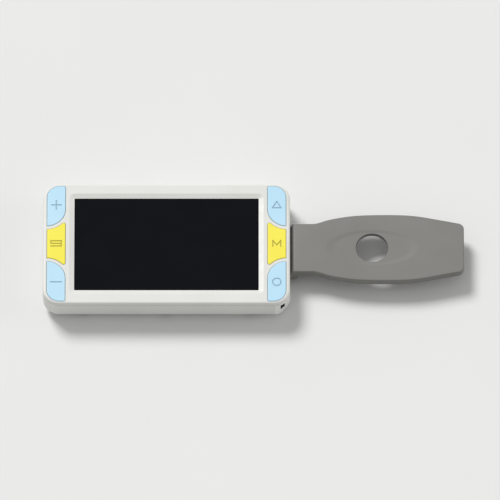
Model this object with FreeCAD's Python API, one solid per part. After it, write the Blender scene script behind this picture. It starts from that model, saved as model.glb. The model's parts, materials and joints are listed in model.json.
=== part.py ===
"""Hand-held electronic video magnifier for low vision, with a fold-out handle.

A flat case holds a wide display between two columns of three large keys. A rear
camera with its own lamps looks at the page. A flat handle is hinged at the right edge.
It swings half a turn into a pocket in the back, where its round hole leaves the camera clear.

The case lies on its back: +X runs towards the handle, +Y towards the top of the display
and +Z out of the display. Depths are measured back from the front face. The origin is
at the middle of the base of the box round the whole magnifier, with its handle out.
Everything is in millimetres.
"""

import FreeCAD
import Part
import math
import os

V = FreeCAD.Vector

# Display and front face
display_width = 111.0
display_height = 62.9
bevel_run = 3.0          # width of the sloping border round the display
bevel_depth = 0.9
lip_depth = 0.25         # upright edge below the slope
border_x = 2.4           # flat strip between the slope and the keys
border_y = 6.65          # flat strip between the slope and the case edge
corner_radius = 10.0
front_edge_radius = 1.4
rear_edge_radius = 6.6
wall = 1.6
cover_thickness = 2.0
parting_depth = 2.2      # where the front cover meets the rear shell
foot_proud = 0.8

# Keys
key_width = 11.0
key_side_margin = 2.45   # case side to key
key_top_margin = 1.7     # case top to key
key_corner_radius = 7.6
key_inner_radius = 1.0
key_edge_radius = 0.4
key_arc_radius = 11.5    # large rounded corner of the blue keys
key_arc_height = 23.6    # height of that arc's centre above mid case
key_web = 2.3            # strip of cover between neighbouring keys
mid_key_half = 14.2      # half height of the middle key on its inner side
key_proud = 0.3
key_gap = 0.22
key_travel = 0.4
key_skin = 1.5
key_wall = 1.2
key_skirt_depth = 2.9
flange_reach = 0.7
flange_thickness = 0.8
plunger_radius = 1.2
icon_depth = 0.25
icon_stroke = 0.8
ring_radius = 2.9        # outside of the ring symbol
icon_height = 26.4       # height of the outer keys' icons above mid case

# Switches and key boards
switch_size = 4.4
switch_height = 1.2
stem_radius = 0.9
stem_proud = 0.45
stem_length = 1.0
switch_floor = 0.2
board_thickness = 1.0
stake_radius = 0.8
stake_head_radius = 1.3
stake_head = 0.6

# Display stack
window_thickness = 1.0
window_overlap = 2.7     # how far the window runs under the lip
gasket_thickness = 0.3
gasket_width = 2.2
lcd_overlap = 3.1        # panel beyond the visible picture
lcd_glass_thickness = 1.1
lcd_frame_thickness = 1.7

# Main board. Its parts are placed from the camera and from the board's top edge.
board_gap = 1.5          # display panel to main board
board_margin_x = 1.15    # main board inside the panel's outline
board_margin_y = 1.3
standoff_inset = 3.5
standoff_radius = 2.4
board_screw_radius = 0.7
board_screw_head_radius = 1.5
board_screw_head = 0.9
board_screw_length = 5.0

# Camera, looking out of the back through the handle's pocket
camera_screw_gap = 0.15
camera_screw_head = 0.65
camera_screw_radius = 0.6
camera_screw_head_radius = 1.2
camera_screw_length = 2.6
camera_board_thickness = 0.6
camera_board_radius = 11.6
camera_ring_height = 2.6
camera_ring_wall = 3.3
camera_aperture = 8.3
camera_window_radius = 9.2
camera_window_thickness = 1.0
lens_holder_size = 8.0
lens_holder_height = 1.5
lens_barrel_radius = 3.0
lens_barrel_height = 0.8
lens_radius = 1.9
led_size = 2.8
led_height = 0.7
led_circle = 6.2

# Handle and hinge
handle_thickness = 5.0
handle_depth = 5.0       # handle's front below the case's front
handle_flush = 0.2       # folded handle below the back
pocket_gap = 0.3         # over the folded handle
handle_gap = 0.5         # round the folded handle
handle_length = 108.3    # hinge axis to handle end
neck_half = 16.5
neck_end = 16.5          # hinge axis to the end of the straight neck
end_extra = 0.25         # half width at the end beyond the neck's
end_slope = 0.22
end_radius = 3.8
# How far the grip is wider than the neck, each side, at shares of the handle's length
grip_shape = [(0.226, 2.0), (0.29, 3.8), (0.385, 5.45), (0.5, 6.1), (0.61, 6.15),
              (0.69, 5.8), (0.77, 4.7), (0.85, 3.0)]
hole_radius = 9.8
hole_at = 52.9           # hinge axis to the hole's centre
hole_flare = 1.8         # the hole's rear edge opens out by this much
dish_length = 56.0
dish_width = 24.2
dish_floor_length = 46.0
dish_floor_width = 20.6
dish_depth = 0.2
handle_front_radius = 0.7
handle_rear_radius = 0.7
barrel_radius = 3.0
barrel_inset = 3.6       # hinge axis inside the case's side
arm_gap = 0.6            # case side to the handle's upright
arm_thickness = 3.5
shoulder_radius = 2.4
swing_gap = 0.5          # round the hinge barrel
hinge_pin_radius = 1.0
pin_clearance = 0.05
pin_hold = 4.5           # pin length inside each side block
hinge_wall = 1.2
washer_thickness = 0.4
pocket_wall = 1.5
scoop_radius = 9.0
scoop_depth = 4.0
scoop_from_end = 12.0

# Case screws and feet
boss_radius = 2.0
boss_length = 7.0
boss_edge_gap = 2.2      # boss centre inside the inner wall
screw_radius = 0.95
pilot_radius = 0.95
screw_clearance = 0.2
screw_head_radius = 1.9
screw_head = 1.3
screw_length = 8.0
screw_seat = 3.0         # thickness of the seat under the head
counterbore_radius = 2.2
tower_radius = 3.2
screw_row = 50.0
foot_radius = 3.6
foot_recess = 0.6
foot_x = 58.0
foot_y = 28.0

# Battery
battery_depth = 7.0
battery_half_height = 26.0
battery_gap = 1.2
battery_pad = 0.5
lead_radius = 0.5

# Sockets in the top side
usb_width = 8.94
usb_height = 3.26
usb_length = 8.0
usb_sheet = 0.3
usb_recess = 1.4
usb_x = 22.0
tongue_thickness = 0.7
jack_width = 6.4
jack_height = 5.2
jack_length = 11.0
jack_nose_radius = 3.0
jack_nose = 1.6
jack_bore = 1.8
jack_bore_length = 11.6
jack_x = -20.0
socket_gap = 0.25
lamp_radius = 1.0
lamp_x = 8.0

# Strap corner
facet_leg = 8.8          # square corner cut back along each side
corner_wall = 0.7        # wall behind the flat and above it
strap_width = 3.6
strap_top = 8.1
strap_height = 5.0
strap_reach = 4.6
strap_block = 5.2
eyelet_wall = 0.35
eyelet_back = 0.15       # eyelet's rim behind the flat corner
post_radius = 0.5
post_hold = 0.7
post_inset = 2.3

# Places worked out from the sizes above
facet_top = key_skirt_depth + key_travel + 0.35 + corner_wall   # where the flat starts, clear of a pressed key
body_width = display_width + 2 * (bevel_run + border_x + key_width + key_side_margin)
body_height = display_height + 2 * (bevel_run + border_y)
half_w = body_width / 2
half_h = body_height / 2
cavity_x = half_w - wall
cavity_y = half_h - wall
key_outer = half_w - key_side_margin
key_inner = key_outer - key_width
key_top = half_h - key_top_margin
key_mid = (key_outer + key_inner) / 2
arc_x = key_inner + key_arc_radius
switch_top = key_skirt_depth + 0.05 + stem_proud
key_board_top = switch_top + switch_height
window_top = bevel_depth + lip_depth
lcd_top = window_top + window_thickness + gasket_thickness
lcd_back = lcd_top + lcd_glass_thickness + lcd_frame_thickness
board_top = lcd_back + board_gap
board_back = board_top + board_thickness
camera_board_top = board_back + camera_screw_gap + camera_screw_head
camera_board_back = camera_board_top + camera_board_thickness
camera_window_top = camera_board_back + camera_ring_height
pocket_floor = camera_window_top + camera_window_thickness
shell_depth = pocket_floor + pocket_gap + handle_thickness + handle_flush
front_z = shell_depth + foot_proud
hinge_x = half_w - barrel_inset
hinge_depth = (handle_depth + shell_depth - handle_flush) / 2
arm_inner = half_w + arm_gap
arm_outer = arm_inner + arm_thickness
notch_top = hinge_depth - barrel_radius - swing_gap
notch_end = hinge_x - (arm_outer - hinge_x) - swing_gap
handle_end = hinge_x + handle_length
camera_x = hinge_x - hole_at
board_half_w = display_width / 2 + lcd_overlap - board_margin_x
board_half_h = display_height / 2 + lcd_overlap - board_margin_y
end_half = neck_half + end_extra
standoff_x = board_half_w - standoff_inset
standoff_y = board_half_h - standoff_inset
boss_y = cavity_y - boss_edge_gap
boss_end = cover_thickness + boss_length
seat_depth = boss_end + screw_seat
origin_x = (handle_end - half_w) / 2   # middle of the whole length, from mid case


def z_at(depth):
    """Height of a depth behind the front face."""
    return front_z - depth


def box(x0, x1, y0, y1, d0, d1):
    """A block between two depths."""
    return Part.makeBox(x1 - x0, y1 - y0, d1 - d0, V(x0, y0, z_at(d1)))


def post(x, y, radius, d0, d1):
    """A round post along Z between two depths."""
    return Part.makeCylinder(radius, d1 - d0, V(x, y, z_at(d1)))


def rod(x, depth, radius, y0, y1):
    """A round rod along Y."""
    return Part.makeCylinder(radius, y1 - y0, V(x, y0, z_at(depth)), V(0, 1, 0))


def face(points_or_edges):
    """A flat face from corner points, or from edges that join up."""
    first = points_or_edges[0]
    if isinstance(first, tuple):
        corners = [V(x, y, 0) for x, y in points_or_edges]
        return Part.Face(Part.makePolygon(corners + corners[:1]))
    return Part.Face(Part.Wire([e.toShape() for e in points_or_edges]))


def prism(outline, d0, d1):
    """An outline's solid between two depths."""
    low = outline.copy()
    low.translate(V(0, 0, z_at(d1)))
    return low.extrude(V(0, 0, d1 - d0))


def round_edges(solid, radius, chosen):
    """Rounds the edges for which chosen(edge) holds."""
    return solid.makeFillet(radius, [e for e in solid.Edges if chosen(e)])


def upright(edge):
    """Whether an edge runs straight along Z."""
    direction = edge.Vertexes[-1].Point - edge.Vertexes[0].Point
    return len(edge.Vertexes) == 2 and math.hypot(direction.x, direction.y) < 1e-6


def edge_at(depth):
    """Chooses the edges that lie flat at one depth."""
    z = z_at(depth)
    return lambda e: abs(e.BoundBox.ZMin - z) < 1e-6 and abs(e.BoundBox.ZMax - z) < 1e-6


def rounded_box(half_x, half_y, radius, d0, d1, x=0.0, y=0.0):
    """A block with rounded upright edges."""
    block = box(x - half_x, x + half_x, y - half_y, y + half_y, d0, d1)
    return round_edges(block, radius, upright)


def mirror_x(shape):
    """The same piece on the other side of the case."""
    return shape.mirror(V(0, 0, 0), V(1, 0, 0))


def mirror_y(shape):
    return shape.mirror(V(0, 0, 0), V(0, 1, 0))


def four(x, y):
    """The four places at plus and minus x and y."""
    return [(sx * x, sy * y) for sx in (-1, 1) for sy in (-1, 1)]


def case_block(inset, d0, d1):
    """The case's outline, moved in by inset, between two depths."""
    return rounded_box(half_w - inset, half_h - inset, corner_radius - inset, d0, d1)


def rear_form(inset, depth):
    """The back's outer or inner form, with its large rounded rear edge."""
    block = case_block(inset, parting_depth, depth)
    return round_edges(block, rear_edge_radius - inset, edge_at(depth))


# Key outlines. Each is drawn for the right-hand column and grown by an even amount.

def outer_key_face(grow):
    """Top right key: it follows the case corner, and its lower inner corner is a large arc."""
    radius = key_arc_radius + grow
    left, right, top = key_inner - grow, key_outer + grow, key_top + grow
    foot = key_arc_height - math.sqrt(radius ** 2 - (right - arc_x) ** 2)
    corner = key_corner_radius + grow
    inner = max(key_inner_radius + grow, 0.3)
    turn = math.atan2(foot - key_arc_height, right - arc_x)
    middle = (math.pi + (turn + 2 * math.pi)) / 2
    bend = math.sqrt(0.5)
    arc_mid = V(arc_x + radius * math.cos(middle), key_arc_height + radius * math.sin(middle), 0)
    start = V(left, key_arc_height, 0)
    return face([
        Part.Arc(start, arc_mid, V(right, foot, 0)),
        Part.LineSegment(V(right, foot, 0), V(right, top - corner, 0)),
        Part.Arc(V(right, top - corner, 0),
                 V(right - corner * (1 - bend), top - corner * (1 - bend), 0),
                 V(right - corner, top, 0)),
        Part.LineSegment(V(right - corner, top, 0), V(left + inner, top, 0)),
        Part.Arc(V(left + inner, top, 0),
                 V(left + inner * (1 - bend), top - inner * (1 - bend), 0),
                 V(left, top - inner, 0)),
        Part.LineSegment(V(left, top - inner, 0), start),
    ])


def outer_key_block(grow, d0, d1):
    return prism(outer_key_face(grow), d0, d1)


def middle_key_block(grow, d0, d1):
    """Middle right key: its ends are hollowed to follow the keys above and below."""
    left, right, top = key_inner - grow, key_outer + grow, mid_key_half + grow
    radius = key_arc_radius + key_web - grow
    block = box(left, right, -top, top, d0, d1)
    if grow > -key_inner_radius:
        inner = lambda e: upright(e) and e.BoundBox.XMax < left + 1e-6
        block = round_edges(block, key_inner_radius + grow, inner)
    return block.cut([post(arc_x, side * key_arc_height, radius, d0 - 1, d1 + 1)
                      for side in (-1, 1)])


# Each key: its block, whether it is mirrored in X and in Y, and its icon's height.
KEYS = {
    "key_plus": (outer_key_block, True, False, icon_height),
    "key_freeze": (middle_key_block, True, False, 0.0),
    "key_minus": (outer_key_block, True, True, -icon_height),
    "key_colour": (outer_key_block, False, False, icon_height),
    "key_mode": (middle_key_block, False, False, 0.0),
    "key_power": (outer_key_block, False, True, -icon_height),
}


def key_block(name, grow, d0, d1):
    make, flip_x, flip_y, _ = KEYS[name]
    block = make(grow, d0, d1)
    if flip_x:
        block = mirror_x(block)
    return mirror_y(block) if flip_y else block


def key_place(name):
    """Where a key's icon, plunger and switch lie."""
    _, flip_x, _, height = KEYS[name]
    return (-key_mid if flip_x else key_mid), height


# Icons, as solids that are cut into the key tops

def bar(x, y, dx, dy, half_length, half_width):
    """A straight stroke about a point, along (dx, dy)."""
    ax, ay = dx * half_length, dy * half_length
    bx, by = -dy * half_width, dx * half_width
    return face([(x - ax - bx, y - ay - by), (x + ax - bx, y + ay - by),
                 (x + ax + bx, y + ay + by), (x - ax + bx, y - ay + by)])


def stroke(x0, y0, x1, y1):
    """A stroke between two points, run on by half its width at both ends."""
    length = math.hypot(x1 - x0, y1 - y0)
    return bar((x0 + x1) / 2, (y0 + y1) / 2, (x1 - x0) / length, (y1 - y0) / length,
               length / 2 + icon_stroke / 2, icon_stroke / 2)


def icon_strokes(name):
    """The strokes of a key's icon, about the icon's own middle."""
    lines = {
        "key_plus": [(-2.9, 0, 2.9, 0), (0, -2.9, 0, 2.9)],
        "key_minus": [(-3.2, 0, 3.2, 0)],
        "key_freeze": [(-3.1, 1.8, 3.1, 1.8), (-3.1, 0, 3.1, 0), (-3.1, -1.8, 3.1, -1.8),
                       (3.1, -1.8, 3.1, 1.8), (-3.1, 0, -3.1, 1.8)],
        "key_colour": [(-2.6, -2.0, 2.6, -2.0), (2.6, -2.0, 0, 2.3), (0, 2.3, -2.6, -2.0)],
        "key_mode": [(-2.35, -1.95, -2.35, 1.95), (-2.35, 1.95, 0, -1.1), (0, -1.1, 2.35, 1.95),
                     (2.35, 1.95, 2.35, -1.95)],
    }
    return [stroke(*line) for line in lines[name]]


def icon_tool(name):
    x, y = key_place(name)
    bottom = -key_proud + icon_depth
    if name == "key_power":
        ring = post(x, y, ring_radius, -key_proud - 1, bottom)
        return ring.cut(post(x, y, ring_radius - icon_stroke, -key_proud - 1, bottom))
    solids = [prism(f, -key_proud - 1, bottom) for f in icon_strokes(name)]
    tool = solids[0].multiFuse(solids[1:]) if len(solids) > 1 else solids[0]
    tool.translate(V(x, y, 0))
    return tool


def key_cap(name):
    """A hollow cap with a flange under the cover and a plunger over its switch."""
    x, y = key_place(name)
    cap = round_edges(key_block(name, 0, -key_proud, key_skirt_depth), key_edge_radius,
                      edge_at(-key_proud))
    hollow = key_block(name, -key_wall, key_skin - key_proud, key_skirt_depth + 1)
    side = 1 if x > 0 else -1
    lip = key_block(name, flange_reach, key_skirt_depth - flange_thickness, key_skirt_depth)
    strip = sorted((side * (key_inner - flange_reach - 1), side * (key_inner + key_wall)))
    room = case_block(wall + 0.4, 0, key_skirt_depth + 1)
    lip = lip.common(room).common(box(*strip, -half_h, half_h, 0, key_skirt_depth + 1))
    plunger = post(x, y, plunger_radius, key_skin - key_proud - 0.1, key_skirt_depth + 0.05)
    return cap.cut([hollow, icon_tool(name)]).fuse([lip, plunger]).removeSplitter()


def switch_stem(name):
    x, y = key_place(name)
    top = key_skirt_depth + 0.05
    return post(x, y, stem_radius, top, top + stem_length)


def switch_housings():
    half = switch_size / 2
    made = []
    for name in KEYS:
        x, y = key_place(name)
        case = box(x - half, x + half, y - half, y + half, switch_top, key_board_top)
        well = post(x, y, stem_radius + 0.1, switch_top - 1, key_board_top - switch_floor)
        made.append(case.cut(well))
    return made


def stake_places():
    """Middle of each web between two keys, where the key boards are staked."""
    rise = math.sqrt((key_arc_radius + key_web / 2) ** 2 - (key_mid - arc_x) ** 2)
    return four(key_mid, key_arc_height - rise)


def key_board(side):
    """The small board under one column of keys."""
    back = key_board_top + board_thickness
    reach = 0.5
    board = case_block(wall + reach, key_board_top, back)
    edges = sorted((side * (key_inner - 0.8), side * half_w))
    board = board.common(box(*edges, -half_h, half_h, key_board_top - 1, back + 1))
    holes = [post(x, y, stake_radius + 0.1, key_board_top - 1, back + 1)
             for x, y in stake_places() if x * side > 0]
    return board.cut(holes + [corner_facet(corner_wall + reach)])


# Front cover

def window_cut():
    """The display's opening: a sloping border, then an upright lip."""
    def ring(half_x, half_y, radius, depth):
        solid = rounded_box(half_x, half_y, radius, depth, depth + 1)
        return [f for f in solid.Faces if abs(f.CenterOfMass.z - z_at(depth)) < 1e-6][0].OuterWire

    half_x, half_y = display_width / 2, display_height / 2
    over = 0.5
    spread = bevel_run * (1 + over / bevel_depth)
    top = ring(half_x + spread, half_y + spread, 0.6 + spread, -over)
    low = ring(half_x, half_y, 0.6, bevel_depth)
    slope = Part.makeLoft([top, low], True, True)
    lip = rounded_box(half_x, half_y, 0.6, bevel_depth - 0.01, window_top + 0.01)
    under = window_overlap + 0.2
    rebate = rounded_box(half_x + under, half_y + under, 1.0, window_top, cover_thickness + 1)
    return [slope, lip, rebate]


def screw_places():
    return four(screw_row, boss_y) + [(0, boss_y), (0, -boss_y)]


def front_cover():
    cover = round_edges(case_block(0, 0, parting_depth), front_edge_radius, edge_at(0))
    inside = case_block(wall, cover_thickness, parting_depth + 1)
    openings = [key_block(name, key_gap, -1, parting_depth + 1) for name in KEYS]
    tongue_in, tongue_out = cavity_y - 1.15, cavity_y - 0.15
    tongue = box(-screw_row, screw_row, tongue_in, tongue_out, cover_thickness - 0.2, 4.5)
    bosses = [post(x, y, boss_radius, cover_thickness - 0.2, boss_end)
              for x, y in screw_places()]
    back = key_board_top + board_thickness
    stakes = [post(x, y, stake_radius, cover_thickness - 0.2, back + stake_head)
              for x, y in stake_places()]
    heads = [post(x, y, stake_head_radius, back, back + stake_head)
             for x, y in stake_places()]
    shoulder = key_skirt_depth + key_travel + 0.4
    heads += [post(x, y, stake_head_radius, shoulder, key_board_top)
              for x, y in stake_places()]
    pilots = [post(x, y, pilot_radius, cover_thickness + 0.8, boss_end + 1)
              for x, y in screw_places()]
    cover = cover.cut([inside] + openings)
    cover = cover.fuse([tongue, mirror_y(tongue)] + bosses + stakes + heads)
    return cover.cut(window_cut() + pilots).removeSplitter()


# Handle

def handle_face(grow=0.0):
    """The handle's outline seen from the front, drawn from its upright root to its end."""
    corner = end_radius + grow
    tip = handle_end + grow
    down = math.hypot(1.0, end_slope)
    run, drop = 1 / down, end_slope / down        # direction of the side where it ends
    side_end = V(tip - corner + corner * drop, end_half + grow * run, 0)
    centre = V(side_end.x - corner * drop, side_end.y - corner * run, 0)
    half_turn = math.atan2(run, drop) / 2
    middle = centre + V(math.cos(half_turn), math.sin(half_turn), 0) * corner
    neck = V(hinge_x + neck_end, neck_half + grow, 0)
    points = [neck]
    points += [V(hinge_x + share * handle_length, neck_half + extra + grow, 0)
               for share, extra in grip_shape]
    points.append(side_end)
    curve = Part.BSplineCurve()
    curve.interpolate(Points=points, InitialTangent=V(1, 0, 0), FinalTangent=V(run, -drop, 0))
    low_points = [V(p.x, -p.y, 0) for p in points[::-1]]
    low_curve = Part.BSplineCurve()
    low_curve.interpolate(Points=low_points, InitialTangent=V(-run, -drop, 0),
                          FinalTangent=V(-1, 0, 0))
    end_y = centre.y
    return face([
        Part.LineSegment(V(arm_inner, neck.y, 0), neck),
        curve,
        Part.Arc(side_end, middle, V(tip, end_y, 0)),
        Part.LineSegment(V(tip, end_y, 0), V(tip, -end_y, 0)),
        Part.Arc(V(tip, -end_y, 0), V(middle.x, -middle.y, 0), V(side_end.x, -side_end.y, 0)),
        low_curve,
        Part.LineSegment(V(neck.x, -neck.y, 0), V(arm_inner, -neck.y, 0)),
        Part.LineSegment(V(arm_inner, -neck.y, 0), V(arm_inner, neck.y, 0)),
    ])


def dish():
    """The shallow oval hollow round the hole."""
    def oval(share, depth):
        """An oval between the floor's outline at 0 and the rim at 1, or past it."""
        length = dish_floor_length + share * (dish_length - dish_floor_length)
        width = dish_floor_width + share * (dish_width - dish_floor_width)
        wire = Part.Wire([Part.Ellipse(V(0, 0, 0), length / 2, width / 2).toShape()])
        wire.translate(V(hinge_x + hole_at, 0, z_at(depth)))
        return wire

    return Part.makeLoft([oval(2, handle_depth - dish_depth), oval(0, handle_depth + dish_depth)],
                         True, True)


def handle():
    """Flat grip, an upright that clears the case side, and the hinge barrel."""
    back = handle_depth + handle_thickness
    plate = prism(handle_face(), handle_depth, back)
    past_root = lambda e: edge_at(back)(e) and e.BoundBox.XMax > arm_inner + 1e-6
    plate = round_edges(plate, handle_rear_radius, past_root)
    at_root = lambda e: edge_at(handle_depth)(e) and e.BoundBox.XMax < arm_inner + 1e-6
    plate = round_edges(plate, shoulder_radius, at_root)
    rim = lambda e: edge_at(handle_depth)(e) and e.BoundBox.XMax > arm_inner + shoulder_radius + 1
    plate = round_edges(plate, handle_front_radius, rim)
    hole_x = hinge_x + hole_at
    hole = post(hole_x, 0, hole_radius, handle_depth - 1, back + 1)
    flare = Part.makeCone(hole_radius + hole_flare, hole_radius, hole_flare,
                          V(hole_x, 0, z_at(back)))
    upright_block = box(arm_inner, arm_outer, -neck_half, neck_half,
                        handle_depth + shoulder_radius, hinge_depth)
    arm = box(hinge_x, arm_outer - barrel_radius, -neck_half, neck_half,
              hinge_depth - barrel_radius, hinge_depth + barrel_radius)
    heel = rod(arm_outer - barrel_radius, hinge_depth, barrel_radius, -neck_half, neck_half)
    barrel = rod(hinge_x, hinge_depth, barrel_radius, -neck_half, neck_half)
    bore = rod(hinge_x, hinge_depth, hinge_pin_radius + pin_clearance,
               -neck_half - 1, neck_half + 1)
    whole = plate.cut([hole, flare, dish()]).fuse([upright_block, arm, heel, barrel])
    return whole.cut(bore).removeSplitter()


def folded(shape):
    """A shape on the open handle, carried to where it lies when folded."""
    turned = shape.copy()
    turned.rotate(V(hinge_x, 0, z_at(hinge_depth)), V(0, 1, 0), 180)
    return turned


# Rear shell

def pocket_block(grow, depth_in, depth_out):
    """The folded handle's outline, grown, between two depths."""
    grown = prism(handle_face(grow), 0, 1)
    turned = folded(grown)
    turned.translate(V(0, 0, z_at(depth_in) - turned.BoundBox.ZMax))
    faces = [f for f in turned.Faces if abs(f.CenterOfMass.z - z_at(depth_in)) < 1e-6]
    return faces[0].extrude(V(0, 0, depth_in - depth_out))


def scoop_place():
    """Where a finger lifts the folded handle's end."""
    x = hinge_x - handle_length + scoop_from_end
    return x, -end_half - handle_gap


def strap_frame():
    """Middle of the flat corner, and the unit vector that points into the case."""
    middle = V(half_w - facet_leg / 2, -half_h + facet_leg / 2, 0)
    inward = V(-1, 1, 0)
    inward.normalize()
    return middle, inward


def square_corner():
    """The strap corner before its flat is cut: square, with the back's rounded edges."""
    reach = corner_radius + 1.0
    block = box(half_w - reach, half_w, -half_h, reach - half_h, facet_top, shell_depth)
    outside = lambda e: e.BoundBox.XMin > half_w - 1e-6 or e.BoundBox.YMax < 1e-6 - half_h
    return round_edges(block, rear_edge_radius,
                       lambda e: edge_at(shell_depth)(e) and outside(e))


def corner_facet(grow=0.0):
    """What is cut off the strap corner to make it flat, or the same grown into the case."""
    x, y, over = half_w, -half_h, 5.0
    leg = facet_leg + grow * math.sqrt(2)
    return prism(face([(x - leg, y), (x, y + leg), (x + over, y + leg + over),
                       (x + over, y - over), (x - leg - over, y - over)]),
                 facet_top - grow, shell_depth + 1)


def strap_pocket(inset=0.0, start=-1.0):
    """The hollow in the flat corner that a strap's loop goes into, or its lining's inside."""
    middle, inward = strap_frame()
    half = strap_width / 2 - inset
    block = box(start, strap_reach - inset, -half, half,
                strap_top + inset, strap_top + strap_height - inset)
    block = round_edges(block, half - 0.1, lambda e: upright(e) and e.BoundBox.XMin > 1)
    block.rotate(V(0, 0, 0), V(0, 0, 1), math.degrees(math.atan2(inward.y, inward.x)))
    block.translate(middle)
    return block


def strap_post(radius=post_radius):
    middle, inward = strap_frame()
    at = middle + inward * post_inset
    return post(at.x, at.y, radius, strap_top - post_hold,
                strap_top + strap_height + post_hold)


def strap_eyelet():
    """The black lining of the strap's hollow."""
    return strap_pocket(0.0, eyelet_back).cut([strap_pocket(eyelet_wall), strap_post()])


def camera_screw_places():
    ring = camera_aperture + camera_ring_wall / 2
    return [(camera_x, ring), (camera_x, -ring)]


def foot_places():
    return four(foot_x, foot_y)


def usb_middle():
    return board_back + usb_height / 2


def jack_middle():
    return board_back + jack_height / 2


def lamp_middle():
    return board_back + lamp_radius + 0.2


def socket_holes():
    """The openings in the top side, a little larger than the sockets."""
    slot_half = usb_width / 2 + socket_gap
    slot_high = usb_height / 2 + socket_gap
    middle = usb_middle()
    slot = box(usb_x - slot_half, usb_x + slot_half, cavity_y - 1, half_h + 1,
               middle - slot_high, middle + slot_high)
    slot = round_edges(slot, slot_high - 0.1,
                       lambda e: e.BoundBox.XLength < 1e-6 and e.BoundBox.ZLength < 1e-6)
    jack = rod(jack_x, jack_middle(), jack_nose_radius + socket_gap, cavity_y - 1, half_h + 1)
    lamp = rod(lamp_x, lamp_middle(), lamp_radius, cavity_y - 1, half_h + 1)
    return [slot, jack, lamp]


def rear_shell():
    outer = rear_form(0, shell_depth).fuse(square_corner())
    cavity = rear_form(wall, shell_depth - wall).cut(corner_facet(corner_wall))
    skin = shell_depth - 0.1
    side = neck_half + handle_gap
    hold = side + pin_hold + hinge_wall
    pocket_roof = pocket_floor - pocket_wall
    solid = [pocket_block(handle_gap + pocket_wall, pocket_roof, skin)]
    solid.append(box(notch_end - pocket_wall, half_w, -hold, hold,
                     notch_top - hinge_wall, skin))
    solid.append(post(camera_x, 0, camera_aperture + camera_ring_wall,
                      camera_board_back, pocket_floor))
    solid += [post(x, y, tower_radius, boss_end, skin) for x, y in screw_places()]
    solid += [post(x, y, standoff_radius, board_back, skin)
              for x, y in four(standoff_x, standoff_y)]
    scoop_x, scoop_y = scoop_place()
    scoop_floor = shell_depth - scoop_depth
    solid.append(post(scoop_x, scoop_y, scoop_radius + pocket_wall,
                      scoop_floor - pocket_wall, skin))
    middle, inward = strap_frame()
    at = middle + inward * (strap_reach / 2)
    solid.append(post(at.x, at.y, strap_block, strap_top - post_hold - 0.5, skin))
    solid = [s.common(outer) for s in solid]

    holes = [pocket_block(handle_gap, pocket_floor, shell_depth + 1)]
    holes.append(box(notch_end, half_w + 1, -side, side, notch_top, shell_depth + 1))
    holes.append(post(camera_x, 0, camera_aperture, camera_board_back - 1, pocket_floor + 1))
    holes.append(post(camera_x, 0, camera_window_radius + 0.1,
                      camera_window_top, pocket_floor + 0.1))
    holes += [post(x, y, camera_screw_radius, camera_board_back - 1,
                   camera_board_back + camera_screw_length - 0.4)
              for x, y in camera_screw_places()]
    holes += [post(x, y, screw_radius + screw_clearance, boss_end - 1, seat_depth + 1)
              for x, y in screw_places()]
    holes += [post(x, y, counterbore_radius, seat_depth, shell_depth + 1)
              for x, y in screw_places()]
    holes += [post(x, y, board_screw_radius, board_back - 1,
                   board_back + board_screw_length - 0.5)
              for x, y in four(standoff_x, standoff_y)]
    holes += [post(x, y, foot_radius, shell_depth - foot_recess, shell_depth + 1)
              for x, y in foot_places()]
    holes.append(rod(hinge_x, hinge_depth, hinge_pin_radius,
                     -side - pin_hold, side + pin_hold))
    holes.append(post(scoop_x, scoop_y, scoop_radius, scoop_floor, shell_depth + 1))
    holes += [corner_facet(), strap_pocket(), strap_post()]
    holes += socket_holes()
    shell = outer.cut(cavity).fuse(solid).cut(holes)
    return shell.removeSplitter()


# Display and boards

def display_window():
    over = window_overlap
    return rounded_box(display_width / 2 + over, display_height / 2 + over, 0.8,
                       window_top, window_top + window_thickness)


def display_gasket():
    top = window_top + window_thickness
    over = window_overlap
    half_x, half_y = display_width / 2 + over, display_height / 2 + over
    outer = rounded_box(half_x, half_y, 0.8, top, top + gasket_thickness)
    hole = box(gasket_width - half_x, half_x - gasket_width,
               gasket_width - half_y, half_y - gasket_width, top - 1, top + 1)
    return outer.cut(hole)


def lcd_glass():
    half_x, half_y = display_width / 2 + lcd_overlap - 0.4, display_height / 2 + lcd_overlap - 0.4
    return box(-half_x, half_x, -half_y, half_y, lcd_top, lcd_top + lcd_glass_thickness)


def lcd_frame():
    """The sheet metal tray that carries the display's backlight."""
    half_x, half_y = display_width / 2 + lcd_overlap, display_height / 2 + lcd_overlap
    tray = rounded_box(half_x, half_y, 0.6, lcd_top, lcd_back)
    seat = lcd_glass()
    return tray.cut(seat)


def lcd_flex():
    """The display's flat cable, folded round the main board's lower edge."""
    sheet, half = 0.2, 9.0
    x = 26.0
    top, low = lcd_back + 0.3, board_back + 0.9
    radius = (low - top) / 2
    y_edge = -display_height / 2 - lcd_overlap
    centre_z = z_at((top + low) / 2)

    def turn(r):
        return Part.makeCylinder(r, 2 * half, V(x - half, y_edge, centre_z), V(1, 0, 0))

    bend = turn(radius + sheet / 2).cut(turn(radius - sheet / 2))
    bend = bend.common(box(x - half, x + half, y_edge - 9, y_edge, top - 1, low + 1))
    upper = box(x - half, x + half, y_edge, y_edge + 4, top - sheet / 2, top + sheet / 2)
    lower = box(x - half, x + half, y_edge, y_edge + 6, low - sheet / 2, low + sheet / 2)
    return bend.fuse([upper, lower]).removeSplitter()


def lcd_connector():
    y_edge = -display_height / 2 - lcd_overlap
    return box(16.0, 36.0, y_edge + 6, y_edge + 10, board_back, board_back + 1.8)


def main_board():
    board = rounded_box(board_half_w, board_half_h, 1.5, board_top, board_back)
    holes = [post(x, y, board_screw_radius + 0.15, board_top - 1, board_back + 1)
             for x, y in four(standoff_x, standoff_y)]
    return board.cut(holes)


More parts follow.
